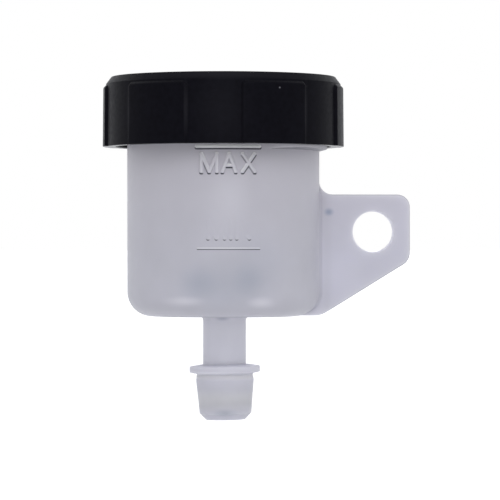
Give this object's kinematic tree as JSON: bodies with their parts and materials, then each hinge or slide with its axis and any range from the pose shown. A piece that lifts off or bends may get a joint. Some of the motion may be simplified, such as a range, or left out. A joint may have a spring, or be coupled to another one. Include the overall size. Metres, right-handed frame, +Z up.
{
  "type": "brake fluid reservoir",
  "caption": "Remote brake fluid reservoir: translucent cup with mounting ear and outlet spigot, black screw cap over a slip plate and bellows diaphragm, and a push-on dust cap.",
  "frame": {"origin": "centre of the ear's bolt hole on the ear's back face, which lies against the bracket", "axes": "+Z up along the cup's axis towards the cap; +Y out of the ear's back face towards the bracket; +X from the cup towards the ear"},
  "size_m": [0.0688, 0.0536, 0.0767],
  "materials": {
    "milky_plastic": "natural translucent moulded polyolefin, milky bluish grey, fine satin surface",
    "black_plastic": "black moulded plastic, satin",
    "plate_plastic": "plain off-white moulded plastic, hidden under the cap",
    "black_rubber": "soft black moulded rubber, matt"
  },
  "bodies": {
    "reservoir": {"reservoir_cup": "milky_plastic", "bellows_diaphragm": "black_rubber"},
    "plate_carrier": {"slip_plate": "plate_plastic"},
    "cap": {"screw_cap": "black_plastic"},
    "dust_cap": {"outlet_dust_cap": "milky_plastic"}
  },
  "joints": [
    {"name": "cap_rise", "type": "slide", "parent": "reservoir", "child": "plate_carrier", "axis": [0, 0, 1], "range_m": [0, 0.00751]},
    {"name": "cap_turn", "type": "hinge", "parent": "plate_carrier", "child": "cap", "pos_m": [-0.03354, -0.0016, 0.03], "axis": [0, 0, 1], "range_deg": [0, 900]},
    {"name": "dust_cap_pull", "type": "slide", "parent": "reservoir", "child": "dust_cap", "axis": [0, 0, -1], "range_m": [0, 0.012]}
  ],
  "couplings": [
    {"joint": "cap_rise", "follows": "cap_turn", "m_per_rad": 0.00047746}
  ]
}
